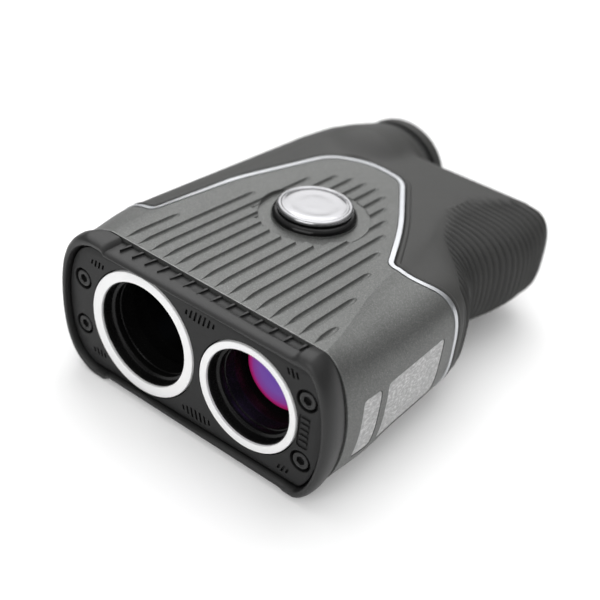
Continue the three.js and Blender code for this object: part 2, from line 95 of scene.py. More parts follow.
LEFT_RING = centre_mm("objective_accent_ring")
RIGHT_RING = centre_mm("receiver_accent_ring")
PLATE_FACE = box_mm("front_plate")[0][1]
ORIGIN = np.array([(LEFT_RING[0] + RIGHT_RING[0]) / 2, PLATE_FACE, LEFT_RING[2]])
LENS_SPACING = RIGHT_RING[0] - LEFT_RING[0]
OBJECTIVE_X = -LENS_SPACING / 2
RECEIVER_X = LENS_SPACING / 2
EYE_X = (centre_mm("diopter_ring") - ORIGIN)[0]
DISC_X, DISC_Y = (centre_mm("magnet_disc") - ORIGIN)[:2]
DISC_RADIUS = (box_mm("magnet_disc")[1] - box_mm("magnet_disc")[0])[0] / 2
DISC_TOP = box_mm("magnet_disc")[1][2] - ORIGIN[2]
BOSS_REAR = box_mm("rubber_armour")[1][1] - ORIGIN[1]
BODY_REAR = BOSS_REAR - 5.4
CELL_X = (centre_mm("battery") - ORIGIN)[0]
CAP_REAR = box_mm("battery_cap")[1][1] - ORIGIN[1] - 2.6

# ---------------- driving dimensions, millimetres
SHELL_FRONT = 5.0
SKIN = 1.5
RECESS_FLOOR = 16.05
MOAT_FLOOR = 15.6  # the ring of the recess outside the seat
RECESS_RADIUS = 13.9
GROOVE_COUNT, GROOVE_FIRST, GROOVE_PITCH = 15, -26.2, 3.8
TRIM_WIDTH = 1.2
CRISP_TO = 60  # depth at which the shell's crease turns soft
REAR_FILLET = 6.0
EYE_BOSS, EYE_BOSS_REAR, EYE_COLLAR = 19.0, 15.9, 14.7  # swelling round the eyepiece, and the hole in it
TRIM_GAP, BEAD_RADIUS = 0.3, 0.8  # the rolled front edge of the rubber
SHOULDER_Y = 95.0  # where the swelling is widest
EYE_BORE = 12.1
EAR_HALF, LONG_EDGE_HALF = 19.0, 17.7  # half heights of the bezel at its ears and between them
SCREWS = [(-34.4, 6.4), (-34.4, -6.4), (30.7, 8.1), (30.7, -8.1)]
BUTTONS = [("fire_button", 78.0, 7.2, 3), ("mode_button", 57.0, 5.0, 1)]  # name, depth, radius, ridges
BUTTON_FACE = -44.6
RECEIVER_GLASS = 9.14
SLIDER_Y = 36.0


# ---------------- mesh helpers
def new_object(name, data):
    obj = bpy.data.objects.new(name, data)
    bpy.context.scene.collection.objects.link(obj)
    return obj


def mesh_object(name, points, faces):
    """A new object from points in model millimetres."""
    placed = (np.asarray(points, float) + ORIGIN) * MM
    mesh = bpy.data.meshes.new(name)
    mesh.from_pydata(placed.tolist(), [], faces)
    mesh.update()
    return new_object(name, mesh)


def outward(obj):
    """Turns a closed mesh's faces outwards."""
    work = bmesh.new()
    work.from_mesh(obj.data)
    bmesh.ops.recalc_face_normals(work, faces=work.faces)
    if work.calc_volume(signed=True) < 0:
        bmesh.ops.reverse_faces(work, faces=work.faces)
    work.to_mesh(obj.data)
    work.free()
    return obj


def grid_solid(name, rings, closed=False):
    """A closed solid through rings of equal length; closed joins the last ring to the first."""
    rings = np.asarray(rings, float)
    count, size = rings.shape[:2]
    faces = []
    for r in range(count if closed else count - 1):
        s = (r + 1) % count
        for i in range(size):
            j = (i + 1) % size
            faces.append((r * size + i, r * size + j, s * size + j, s * size + i))
    if not closed:
        faces.append(tuple(range(size - 1, -1, -1)))
        faces.append(tuple((count - 1) * size + i for i in range(size)))
    return outward(mesh_object(name, rings.reshape(-1, 3), faces))


def turned(name, profile, x, z=0.0, y=0.0, steps=96, axis="Y"):
    """A solid of revolution about Y (or X or Z) from a closed profile of (radius, along) points.
    Profiles that touch the axis are closed along it."""
    on_axis = profile[0][0] == 0 and profile[-1][0] == 0
    angles = np.arange(steps) * 2 * math.pi / steps
    points, faces, rows = [], [], []
    for radius, along_axis in profile:
        count = steps if radius else 1
        rows.append([len(points) + i % count for i in range(steps)])
        for a in angles[:count]:
            point = [radius * math.sin(a), radius * math.cos(a)]
            point.insert("XYZ".index(axis), along_axis)
            points.append(np.add(point, (x, y, z)))
    for r in range(len(rows) - 1 if on_axis else len(rows)):
        a_row, b_row = rows[r], rows[(r + 1) % len(rows)]
        for i in range(steps):
            j = (i + 1) % steps
            corners = list(dict.fromkeys((a_row[i], a_row[j], b_row[j], b_row[i])))
            if len(corners) > 2:
                faces.append(corners)
    return outward(mesh_object(name, points, faces))


def disc_solid(name, radius, low, high, x, z=0.0, y=0.0, steps=96, axis="Y"):
    return turned(name, [(0, low), (radius, low), (radius, high), (0, high)], x, z, y, steps, axis)


def block(name, low, high):
    (x0, y0, z0), (x1, y1, z1) = low, high
    points = [(x, y, z) for x in (x0, x1) for y in (y0, y1) for z in (z0, z1)]
    faces = [(0, 1, 3, 2), (4, 6, 7, 5), (0, 4, 5, 1), (2, 3, 7, 6), (0, 2, 6, 4), (1, 5, 7, 3)]
    return outward(mesh_object(name, points, faces))


def prism(name, outline, low, high, axis="Z"):
    """An outline that lies across the axis, carried along it from low to high."""
    outline = np.asarray(outline, float)
    return grid_solid(name, [np.insert(outline, "XYZ".index(axis), level, 1) for level in (low, high)])


def join(*objects):
    """Puts several closed meshes into the first object's mesh."""
    work = bmesh.new()
    for obj in objects:
        work.from_mesh(obj.data)
    work.to_mesh(objects[0].data)
    work.free()
    for obj in objects[1:]:
        discard(obj)
    return objects[0]


def discard(obj):
    mesh = obj.data
    bpy.data.objects.remove(obj)
    bpy.data.meshes.remove(mesh)


def apply_modifiers(obj):
    graph = bpy.context.evaluated_depsgraph_get()
    graph.update()
    mesh = bpy.data.meshes.new_from_object(obj.evaluated_get(graph))
    obj.modifiers.clear()
    old = obj.data
    obj.data = mesh
    bpy.data.meshes.remove(old)
    return obj


def boolean(obj, operation, tools):
    for tool in tools:
        modifier = obj.modifiers.new("boolean", "BOOLEAN")
        modifier.operation = operation
        modifier.solver = "MANIFOLD"
        modifier.object = tool
        apply_modifiers(obj)
        discard(tool)
    return obj


def cut(obj, *tools):
    return boolean(obj, "DIFFERENCE", tools)


def add(obj, *tools):
    return boolean(obj, "UNION", tools)


def keep(obj, *tools):
    return boolean(obj, "INTERSECT", tools)


def finish_mesh(obj, degrees=32):
    """Smooth shading with creases where the surface turns by more than the angle."""
    mesh = obj.data
    mesh.shade_smooth()
    mesh.set_sharp_from_angle(angle=math.radians(degrees))
    return obj


def sharpen_crease(obj, last_y):
    """Keeps the line between the broad side and the grip-edge flank crisp, up to depth last_y."""
    mesh = obj.data
    on_crease = []
    for vertex in mesh.vertices:
        x, y, z = np.array(vertex.co) / MM - ORIGIN
        broad = abs(z) > plateau_z(x, y) - 0.3
        on_crease.append(broad and y < last_y and abs(x - along(RIGHT_CREASE, y)) < 0.12)
    for edge in mesh.edges:
        if on_crease[edge.vertices[0]] and on_crease[edge.vertices[1]]:
            edge.use_edge_sharp = True
    return obj


def unit(rows):
    """Each row scaled to length 1."""
    return rows / np.linalg.norm(rows, axis=1)[:, None]


def smoothstep(low, high, value):
    t = np.clip((np.asarray(value, float) - low) / (high - low), 0, 1)
    return t * t * (3 - 2 * t)


# ---------------- body envelope
PLATEAU_Z, PER_Y, PER_X = 18.4, -0.0425, -0.02
# rows of (depth, value): where each side and each crease runs, and how full the flank between them is
LEFT_SIDE = [(0, -41.5), (20, -43.8), (84, -43.8), (104, -41)]
LEFT_CREASE = [(0, -30), (22, -31), (104, -31)]
LEFT_POWER = [(0, 2.2), (22, 2.8), (104, 2.6)]
RIGHT_SIDE = [(0, 37.8), (20, 38.6), (50, 38.4), (68, 31.8), (90, 35.6), (104, 35.4)]
RIGHT_CREASE = [(0, 30.5), (42, 22.8), (58, 20), (78, 15), (88, 15.5), (104, 27)]
RIGHT_POWER = [(0, 1.8), (20, 2.6), (42, 3.1), (52, 3), (64, 2.2), (82, 2.9), (104, 2.9)]
CREASE_SLOPE = 0.27  # how steeply the flanks leave the broad sides
SIDE_STEPS = 40
FLAT_STEPS = 24


def along(rows, y):
    """Eased interpolation between rows of (y, value)."""
    if y <= rows[0][0]:
        return rows[0][1]
    for (y0, v0), (y1, v1) in zip(rows, rows[1:]):
        if y <= y1:
            return v0 + (v1 - v0) * (1 - math.cos(math.pi * (y - y0) / (y1 - y0))) / 2
    return rows[-1][1]


def plateau_z(x, y):
    return PLATEAU_Z + PER_Y * y + PER_X * x


def flank(y, inset, rows_side, rows_crease, rows_power, direction):
    """Points from the side's outermost point up to the crease, as x and z arrays."""
    edge, crease, power = along(rows_side, y), along(rows_crease, y), along(rows_power, y)
    reach = abs(edge - crease) - inset
    height = plateau_z(crease, y) - inset
    angle = np.linspace(0, math.pi / 2, SIDE_STEPS + 1)
    u = np.cos(angle).clip(0) ** (2 / power)
    v = np.sin(angle) ** (2 / power)
    z = height * v - CREASE_SLOPE * reach * u * (1 - u) ** 2
    return crease + direction * reach * u, z.clip(0)


def section(y, inset=0.0, flat_steps=FLAT_STEPS):
    """The closed cross-section at depth y as points (x, y, z), moved in by inset."""
    right_x, right_z = flank(y, inset, RIGHT_SIDE, RIGHT_CREASE, RIGHT_POWER, 1)
    left_x, left_z = flank(y, inset, LEFT_SIDE, LEFT_CREASE, LEFT_POWER, -1)
    share = np.linspace(0, 1, flat_steps + 2)[1:-1]
    flat_x = right_x[-1] + (left_x[-1] - right_x[-1]) * share
    flat_z = right_z[-1] + (left_z[-1] - right_z[-1]) * share
    x = np.concatenate([right_x, flat_x, left_x[::-1]])
    z = np.concatenate([right_z, flat_z, left_z[::-1]])
    x = np.concatenate([x, x[1:-1][::-1]])
    z = np.concatenate([z, -z[1:-1][::-1]])
    return np.stack([x, np.full_like(x, y), z], 1)


def envelope(name, inset, y0, y1, step=1.5):
    stops = np.linspace(y0, y1, max(2, int((y1 - y0) / step) + 1))
    return grid_solid(name, [section(y, inset) for y in stops])


# ---------------- plan outline of the rubber armour
def round_corners(corners, radii, steps=10):
    """Corners rounded by quadratic curves that start a distance r before each corner."""
    out = []
    total = len(corners)
    for i, corner in enumerate(corners):
        p = np.array(corner, float)
        if not radii[i]:
            out.append(p)
            continue
        before, after = np.array(corners[i - 1], float), np.array(corners[(i + 1) % total], float)
        a = p + (before - p) * radii[i] / np.linalg.norm(before - p)
        b = p + (after - p) * radii[i] / np.linalg.norm(after - p)
        for t in np.linspace(0, 1, steps):
            out.append(a * (1 - t) ** 2 + p * 2 * t * (1 - t) + b * t * t)
    return np.array(out)


ARMOUR_CORNERS = [
    (-70, 18.6), (-32, 20), (-30.3, 47.5), (-23.4, 79), (-13.6, 84.6), (-1.9, 82.8), (12.2, 60.4),
    (20.4, 43), (29, 43), (38, 46.5), (70, 47), (70, 140), (-70, 140),
]
ARMOUR_RADII = [0, 1.8, 6, 5, 5, 4, 8, 2, 3, 3, 0, 0, 0]


def armour_plan(offset):
    """The outline of everything behind the silver line, moved towards the front by offset."""
    line = round_corners(ARMOUR_CORNERS, ARMOUR_RADII)
    tangent = unit(np.roll(line, -1, 0) - np.roll(line, 1, 0))
    moved = line + np.stack([tangent[:, 1], -tangent[:, 0]], 1) * offset
    far = np.abs(line[:, 0]) > 60
    moved[far] = line[far] - np.where(line[far][:, 1:] > 100, 0, [0, offset])
    return moved


def behind(name, offset):
    return prism(name, armour_plan(offset), -40, 40)


# ---------------- front shell
GROOVE_ENDS = [
    (-30, 12), (-26.2, 23), (-22.4, 46), (-18.6, 64), (-14.8, 71), (-11, 73), (-3.4, 73.5),
    (0.4, 71), (4.2, 66), (8, 60.5), (11.8, 54), (15.6, 46), (19.4, 36.8), (23.2, 25.7), (27, 14),
]


def groove_cutter(index, side):
    """A long scoop whose front end narrows to a point at the shell's edge and whose rear end is round."""
    x = GROOVE_FIRST + index * GROOVE_PITCH
    front = SHELL_FRONT + 0.4
    rear = along(GROOVE_ENDS, x)
    taper = min(5.5, (rear - front) / 2)
    stops = np.concatenate([
        front + taper * np.linspace(0, 1, 8) ** 1.3,
        np.linspace(front + taper + 0.6, rear - 3.2, max(2, int((rear - front) / 3))),
        rear - 2.8 * (1 - np.linspace(0.1, 0.97, 8)),
    ])
    rings = []
    angles = np.arange(14) * 2 * math.pi / 14
    for y in stops:
        opening = 0.1 + 0.9 * smoothstep(0, taper, y - front) ** 0.8
        ending = math.sqrt(max(1 - max(0, (y - rear + 2.8) / 2.8) ** 2, 0.01))
        scale = min(float(opening), ending)
        half_width, depth = 0.82 * scale, 0.8 * scale * ending
        z = plateau_z(x, y) + 0.25
        rings.append([
            (x + half_width * math.cos(a), y, side * (z + (depth + 0.25) * math.sin(a))) for a in angles
        ])
    return grid_solid(f"groove{index}{side}", rings)


def rim_notches():
    """A staircase of shallow steps where the ribs between the grooves meet the front of the recess."""
    steps = []
    for index in range(2, 8):
        x = GROOVE_FIRST + (index + 0.5) * GROOVE_PITCH
        reach = RECESS_RADIUS**2 - (x - DISC_X) ** 2
        if reach <= 0:
            continue
        y = DISC_Y - math.sqrt(reach)
        low, high = (x - 1.92, y - 1.4, RECESS_FLOOR), (x + 1.92, y + 3, 25)
        steps.append(block(f"notch{index}", low, high))
    return steps


def label_field(grow, depth_out, depth_in):
    """The slanted panels on the grip edge, as a band of the skin between two insets."""
    band = cut(envelope("band", depth_out, 6, 50, 2), envelope("band_in", depth_in, 5, 51, 2))
    low, high, slant = -9.2 - grow, 5.8 + grow, 1.1
    shapes = []
    for y0, y1 in ((9.3, 16.2), (17.7, 41.2)):
        corners = [
            (y0 + slant - grow, high), (y1 + grow, high), (y1 - slant + grow, low), (y0 - grow, low),
        ]
        shapes.append(prism("panel", round_corners(corners, [1.2] * 4, 5), 30, 60, "X"))
    return keep(band, join(*shapes))


def front_shell():
    shell = envelope("front_shell_fine", 0, SHELL_FRONT, 88, 1.2)
    cut(shell, envelope("in", SKIN, SHELL_FRONT - 1, 89, 2))
    cut(shell, behind("plan", TRIM_WIDTH / 2 + 0.15))
    recess = disc_solid("recess", RECESS_RADIUS, MOAT_FLOOR, 30, DISC_X, y=DISC_Y, steps=160, axis="Z")
    cut(shell, recess)
    for index in range(GROOVE_COUNT):
        cut(shell, groove_cutter(index, 1))
        cut(shell, groove_cutter(index, -1))
    cut(shell, *rim_notches())
    low, high = MOAT_FLOOR - 0.5, MOAT_FLOOR + 0.01
    moat = disc_solid("moat", RECESS_RADIUS + 0.05, low, high, DISC_X, y=DISC_Y, axis="Z")
    pad = disc_solid("pad", 10.7, MOAT_FLOOR - 0.3, RECESS_FLOOR, DISC_X, y=DISC_Y, axis="Z")
    add(shell, moat, pad)
    cut(shell, disc_solid("hole", 6.5, 8, 30, DISC_X, y=DISC_Y, axis="Z"))
    cut(shell, label_field(0.15, -0.5, 0.35))
    return sharpen_crease(finish_mesh(shell), CRISP_TO)


# ---------------- silver trim
def silver_trim():
    trim = cut(envelope("silver_trim_fine", -0.18, 11, 90, 1), envelope("in", 1.0, 10, 91, 2))
    band = cut(behind("band", TRIM_WIDTH / 2), behind("band_in", -TRIM_WIDTH / 2))
    return finish_mesh(keep(trim, band))


# ---------------- rubber armour
SCALLOP = [
    (43, 46), (33.7, 52), (29.3, 57.8), (20.8, 66.1), (15.7, 77.6), (14.9, 86.2), (19.4, 93.4), (24.2, 98.5),
    (30, 101),
]
RIB_PITCH, RIB_DEPTH = 2.15, 1.15
RIBS_FADE_IN, RIBS_FADE_OUT = (49, 53), (99, 102.5)


def scallop_x(y):
    """Where the ribbed field starts on the broad side at depth y."""
    xs, ys = zip(*SCALLOP)
    return float(np.interp(y, ys, xs))


def swelling(y):
    """Radius of the rubber round the eyepiece at depth y: it grows to a shoulder and narrows again."""
    rise = 12.5 + (EYE_BOSS - 12.5) * smoothstep(74, SHOULDER_Y, y)
    fall = np.clip((y - SHOULDER_Y) / (BOSS_REAR - SHOULDER_Y), 0, 1) ** 1.15
    return float(rise - (EYE_BOSS - EYE_BOSS_REAR) * fall)


def eye_shoulder():
    """The part of the swelling behind the body's rear face, with a rounded rear edge."""
    profile = [(0, 97)] + [(swelling(y) - 0.02, y) for y in np.arange(97, BOSS_REAR - 1, 1.0)]
    for a in np.linspace(0, math.pi / 2, 7):
        profile.append((swelling(BOSS_REAR) - 1 + math.cos(a), BOSS_REAR - 1 + math.sin(a)))
    return turned("shoulder", profile + [(0, BOSS_REAR)], EYE_X, steps=160)


def edge_path(offset, inset):
    """The closed curve where the armour's plan line meets the skin, with the skin's normals along it."""
    front = armour_plan(offset)[:-2]
    ends = []
    for x, rows, direction in ((-43, LEFT_SIDE, 1), (38, RIGHT_SIDE, -1)):
        ends.append(along(rows, float(np.interp(x, front[:, 0], front[:, 1]))) + direction * inset)
    upper = 2 * SIDE_STEPS + FLAT_STEPS + 2
    points, normals = [], []
    for angle in np.linspace(0, math.pi, 300):
        x = (ends[0] + ends[1]) / 2 - (ends[1] - ends[0]) / 2 * math.cos(angle)
        y = float(np.interp(x, front[:, 0], front[:, 1]))
        ring = section(y, inset)[:upper][::-1]
        course = np.gradient(ring, axis=0)
        z = np.interp(x, ring[:, 0], ring[:, 2])
        dx, dz = (np.interp(x, ring[:, 0], course[:, k]) for k in (0, 2))
        points.append((x, y, z))
        normals.append((-dz, 0, dx))
    points, normals = np.array(points), unit(np.array(normals))
    mirror = np.array([1, 1, -1])
    points = np.concatenate([points, (points * mirror)[-2:0:-1]])
    normals = np.concatenate([normals, (normals * mirror)[-2:0:-1]])
    return points, normals


def edge_bead():
    """The rolled front edge of the rubber, as a round cord along the silver line."""
    points, normals = edge_path(-TRIM_WIDTH / 2 - TRIM_GAP - BEAD_RADIUS, BEAD_RADIUS - 0.3)
    sideways = unit(np.cross(unit(np.roll(points, -1, 0) - np.roll(points, 1, 0)), normals))
    rings = []
    for point, normal, side in zip(points, normals, sideways):
        rings.append([
            point + BEAD_RADIUS * (math.cos(a) * normal + math.sin(a) * side)
            for a in np.arange(16) * 2 * math.pi / 16
        ])
    return grid_solid("bead", rings, closed=True)


def armour_rings():
    """Rings of the outside of the rubber: swollen round the eyepiece, ribbed on the grip edge."""
    stops = np.concatenate([np.arange(12, 46, 1.5), np.arange(46, BODY_REAR - REAR_FILLET, 0.3)])
    rings = []
    rear_angles = np.linspace(0, math.pi / 2, 14)
    rear = [
        (BODY_REAR - REAR_FILLET * (1 - math.sin(a)), REAR_FILLET * (1 - math.cos(a))) for a in rear_angles
    ]
    for y, inset in [(y, 0.0) for y in stops] + rear:
        ring = section(y, inset)
        x, z = ring[:, 0].copy(), ring[:, 2].copy()
        # ribs that fade in past the scalloped line and run round the grip edge
        field = smoothstep(*RIBS_FADE_IN, y) * (1 - smoothstep(*RIBS_FADE_OUT, y))
        field = field * smoothstep(0, 2.2, x - scallop_x(y))
        wave = 0.5 - 0.5 * math.cos(2 * math.pi * (y - 50) / RIB_PITCH)
        groove_depth = RIB_DEPTH * field * (1 - wave**0.8)
        crease = along(RIGHT_CREASE, y)
        dx, dz = x - crease, z
        length = np.hypot(dx, dz) + 1e-6
        x -= np.where(x > crease, groove_depth * dx / length, 0)
        z -= np.where(x > crease, groove_depth * dz / length, groove_depth * np.sign(z))
        # the swelling round the eyepiece
        ex, ez = x - EYE_X, z
        radius = np.hypot(ex, ez)
        target = swelling(y)
        swollen = 0.5 * (radius + target + np.sqrt((radius - target) ** 2 + 1.4))
        near = (radius < target + 6) & (y > 72)
        grow = 1 + np.where(near, swollen / radius - 1, 0) * smoothstep(72, 80, y)
        x = EYE_X + ex * grow
        z = (ez * grow).clip(-EYE_BOSS, EYE_BOSS)
        rings.append(np.stack([x, np.full_like(x, y), z], 1))
    return rings


def rubber_armour():
    armour = grid_solid("rubber_armour_fine", armour_rings())
    cut(armour, envelope("in", SKIN, 11, BODY_REAR - 3 * SKIN, 2))
    add(armour, eye_shoulder())
    cut(armour, disc_solid("eye", EYE_COLLAR, 96, BOSS_REAR + 1, EYE_X))
    cut(armour, disc_solid("cap", 9.7, 90, BODY_REAR + 1, CELL_X))
    keep(armour, behind("plan", -TRIM_WIDTH / 2 - TRIM_GAP - BEAD_RADIUS))
    add(armour, edge_bead())
    for _, y, radius, _ in BUTTONS:
        cut(armour, disc_solid("button", radius + 0.3, -60, -36, 0, y=y, axis="X"))
    cut(armour, block("slot", (-60, SLIDER_Y - 3.8, -2.5), (-42.1, SLIDER_Y + 7.8, 2.5)))
    return finish_mesh(armour)


# ---------------- front bezel and plate
def bezel_ring(y, edge_inset, edge_half, end_inset, ears):
    """The outline of the bezel at depth y. Its long edges are level at edge_half and moved in by
    edge_inset; the corners and ends are moved in by end_inset, and the corners stand out past the edges."""
    edges, ends = section(0, edge_inset, 90), section(0, end_inset, 90)
    edges[:, 2] = edges[:, 2].clip(-edge_half, edge_half)
    x, z = ends[:, 0], ends[:, 2]
    outward_z = 0.85 * ears * np.clip(np.abs(z) / 9, 0, 1) * np.sign(z)
    ends[:, 2] = (z + outward_z).clip(-EAR_HALF + end_inset / 2, EAR_HALF - end_inset / 2)
    share = smoothstep(26.4, 27.5, np.abs(x - 0.5))[:, None]
    ring = edges * (1 - share) + ends * share
    ring[:, 1] = y
    return ring


def bezel_tick(x, side):
    """A small wedge between the lip and the shell, in line with a rib of the shell."""
    top = plateau_z(x, 0)
    tip, foot, lean = 0.1, 0.32, 0.3
    corners = [(x - tip, 1.5), (x + tip, 1.5), (x + foot + lean, 4.6), (x - foot + lean, 4.6)]
    return prism("tick", corners, side * (top - 2.4), side * (top - 0.6))


def front_bezel():
    """A closed sweep of the bezel's profile: a lip round the plate's pocket, and behind it a recessed band
    on the long edges but a broad rounded side at the corners and ends."""
    columns = [
        # depth, inset and half height on the long edges, inset at the ends, how far the ears stand out
        (4.7, 1.9, 16.9, 1.9, 0), (4.7, 1.15, 17.7, 0.5, 0.2), (4.5, 1.12, 17.7, 0.25, 0.4),
        (3.6, 1.1, 17.7, 0.1, 0.7), (2.6, 1.05, 17.7, 0.02, 0.9), (1.9, 0.7, 17.7, -0.02, 1),
        (1.4, 0.1, 17.7, -0.02, 1), (0.8, -0.1, 17.7, 0.02, 1), (0, -0.08, 17.68, 0.15, 1),
        (-0.7, 0.08, 17.55, 0.45, 1), (-1.15, 0.3, 17.35, 0.8, 0.95), (-1.4, 0.62, 17.1, 1.2, 0.85),
        (-1.4, 1.25, 16.8, 1.6, 0.6), (-1.25, 1.6, 16.62, 1.85, 0.4), (-0.85, 1.85, 16.52, 2.0, 0.3),
        (0.2, 2.05, 16.45, 2.08, 0.25), (2.55, 2.05, 16.45, 2.08, 0.25), (2.6, 4.5, 14.2, 4.5, 0),
        (4.7, 4.5, 14.2, 4.5, 0),
    ]
    bezel = grid_solid("front_bezel_fine", [bezel_ring(*row) for row in columns], closed=True)
    for index in range(GROOVE_COUNT + 1):
        x = GROOVE_FIRST + (index - 0.35) * GROOVE_PITCH
        add(bezel, bezel_tick(x, 1), bezel_tick(x, -1))
    return finish_mesh(bezel, 38)


def leaf_slots(x, z, count, length, slant, tall):
    """A lens-shaped group of slanted slots."""
    slots = []
    for i in range(count):
        share = (i + 0.5) / count * 2 - 1
        half = tall * (1 - share * share) ** 0.5 * 0.5
        px = x + share * length / 2
        corners = [
            (px - 0.28 - slant * half, z - half), (px + 0.28 - slant * half, z - half),
            (px + 0.28 + slant * half, z + half), (px - 0.28 + slant * half, z + half),
        ]
        slots.append(prism("slot", corners, -1, 0.45, "Y"))
    return slots


def front_plate():
    rings = []
    for y, inset in ((2.4, 0), (0.25, 0), (0.08, 0.08), (0, 0.25)):
        ring = section(0, 2.45 + inset)
        ring[:, 1] = y
        half = LONG_EDGE_HALF - 1.5 - inset
        ring[:, 2] = ring[:, 2].clip(-half, half)
        rings.append(ring)
    plate = grid_solid("front_plate_fine", rings)
    cut(plate, disc_solid("a", 15.95, -1, 3, OBJECTIVE_X, steps=160))
    cut(plate, disc_solid("b", 13.6, -1, 3, RECEIVER_X, steps=160))
    for x, z in SCREWS:
        cut(plate, turned("c", [(0, -1), (3.0, -1), (2.65, 0.2), (2.6, 1.7), (0, 1.7)], x, z, steps=48))
        cut(plate, disc_solid("d", 1.4, -1, 3, x, z, steps=24))
    for side in (1, -1):
        cut(plate, *leaf_slots(1.6, side * 13.2, 7, 9, 0.25 * side, 2.6))
        cut(plate, *leaf_slots(-29.5, side * 12.4, 4, 4.6, 0.25 * side, 1.9))
        cut(plate, *leaf_slots(26.6, side * 12.9, 3, 3.4, -0.4 * side, 2.0))
    panel = round_corners([(29.2, -4.4), (32.2, -4.4), (32.2, 4.4), (29.2, 4.4)], [0.8] * 4, 4)
    cut(plate, prism("panel", panel, -1, 0.3, "Y"))
    for z in (-3, -1.5, 0, 1.5, 3):
        add(plate, block("bar", (29.7, 0.02, z - 0.35), (31.7, 0.6, z + 0.35)))
    return finish_mesh(plate, 30)


def accent_ring(name, x, outer, inner):
    """A thin white ring set into the face, round the mouth of a lens tube."""
    profile = [
        (inner, 0.5), (inner, -0.02), (inner + 0.12, -0.12), (outer - 0.25, -0.3), (outer - 0.06, -0.24),
        (outer, -0.05), (outer, 2.4), (outer - 0.8, 2.4), (outer - 0.8, 0.5),
    ]
    return finish_mesh(turned(name, profile, x, steps=192))


def socket_screw(name, x, z):
    profile = [
        (0, 15), (1.1, 15), (1.1, 1.6), (2.05, 1.6), (2.05, 0.3), (1.95, 0.12), (1.8, 0.05), (1.45, 0.05),
        (1.3, 0.15), (0, 0.15),
    ]
    screw = turned(name, profile, x, z, steps=48)
    cut(screw, disc_solid("hex", 1.15, -1, 1.2, x, z, steps=6))
    return finish_mesh(screw, 30)


# ---------------- optics seen through the rings
TUBES = [
    # name, x, the accent ring's radii, and the bore's measures in the order that bore() takes them
    ("objective", OBJECTIVE_X, (15.6, 13.05), (12.85, 12.0, 21, (8.5, 12.5), 13.4, 13.4)),
    ("receiver", RECEIVER_X, (13.25, 11.5), (11.25, 10.3, 13, (7.5,), 11.9, 12.4)),
]


def bore(name, x, mouth, wall, depth, steps_at, ring_outer, tube_outer):
    """A blackened lens tube: a rounded mouth inside the accent ring, a retaining ring, faint wall steps."""
    profile = [
        (ring_outer, 2.7), (ring_outer, 0.6), (mouth + 0.35, 0.6), (mouth + 0.1, 0.7), (mouth, 0.95),
        (mouth, 2.6), (mouth - 0.15, 2.9), (mouth - 0.75, 3.2), (mouth - 0.8, 3.4), (mouth - 0.8, 4.6),
        (mouth - 0.7, 4.9), (wall, 5.0),
    ]
    radius = wall
    for y in steps_at:
        profile += [(radius, y), (radius - 0.06, y + 0.2), (radius - 0.06, y + 0.6), (radius, y + 0.8)]
    profile += [(wall, depth), (wall, depth + 4), (tube_outer, depth + 4), (tube_outer, 2.7)]
    return finish_mesh(turned(name, profile, x, steps=160), 28)


def bulged_lens(name, x, radius, front, edge, bulge):
    rows = 14
    profile = []
    for i in range(rows + 1):
        r = radius * i / rows
        profile.append((r, front - bulge * (1 - (r / radius) ** 2)))
    for i in range(rows, -1, -1):
        r = radius * i / rows
        profile.append((r, front + edge + 0.4 * bulge * (1 - (r / radius) ** 2)))
    return finish_mesh(turned(name, profile, x, steps=96))


# ---------------- disc on the broad side
def magnet_disc():
    """A polished button with a thick rounded rim, a fine groove inside it and a gently domed centre."""
    top, r = DISC_TOP, DISC_RADIUS
    profile = [
        (0, top - 1.65), (r - 0.6, top - 1.65), (r - 0.2, top - 1.5), (r, top - 1.15), (r, top - 0.8),
        (r - 0.12, top - 0.5), (r - 0.4, top - 0.25), (r - 0.8, top - 0.12), (r - 1.1, top - 0.2),
        (r - 1.3, top - 0.38), (r - 1.5, top - 0.38), (r - 1.75, top - 0.25), (r - 2.4, top - 0.16),
    ]
    for t in np.linspace(0, 1, 25):
        swell = 0.07 * math.cos(3.1 * math.pi * t) * (1 - t)
        profile.append(((r - 2.8) * (1 - t), top - 0.13 + swell))
    disc = turned("magnet_disc_fine", profile, DISC_X, y=DISC_Y, steps=128, axis="Z")
    return finish_mesh(disc, 40)


def seat_ring():
    """The glossy black collar that the disc stands in."""
    base = RECESS_FLOOR + 0.02
    low, high = box_mm("disc_seat_ring")
    r, top = (high[0] - low[0]) / 2, high[2] - ORIGIN[2]
    profile = [
        (7, base), (r - 0.1, base), (r, base + 0.15), (r - 0.02, base + 0.5), (r - 0.3, base + 1.1),
        (r - 0.85, top - 0.1), (r - 1.1, top), (DISC_RADIUS - 0.6, top), (7, top),
    ]
    return finish_mesh(turned("disc_seat_ring_fine", profile, DISC_X, y=DISC_Y, steps=128, axis="Z"), 40)


# ---------------- eyepiece
def knurled_ring():
    """The dioptre ring: a drum whose rim has round scallops."""
    y0, y1, radius = drum("diopter_ring")
    steps, ribs = 360, 60
    profile = [
        (-1, y0), (0.5, y0), (0.12, y0 + 0.2), (0, y0 + 0.5), (0, y1 - 0.5), (0.12, y1 - 0.2), (0.5, y1),
        (-1, y1),
    ]
    rings = []
    for inset, y in profile:
        ring = []
        for i in range(steps):
            a = 2 * math.pi * i / steps
            wave = abs(math.sin(a * ribs / 2)) ** 1.5
            scallop = 0.5 * (1 - wave) if inset < 0.3 else 0.1
            r = EYE_BORE if inset < 0 else radius - inset - scallop
            ring.append((EYE_X + r * math.sin(a), y, r * math.cos(a)))
        rings.append(ring)
    return finish_mesh(grid_solid("diopter_ring_fine", rings, closed=True), 50)


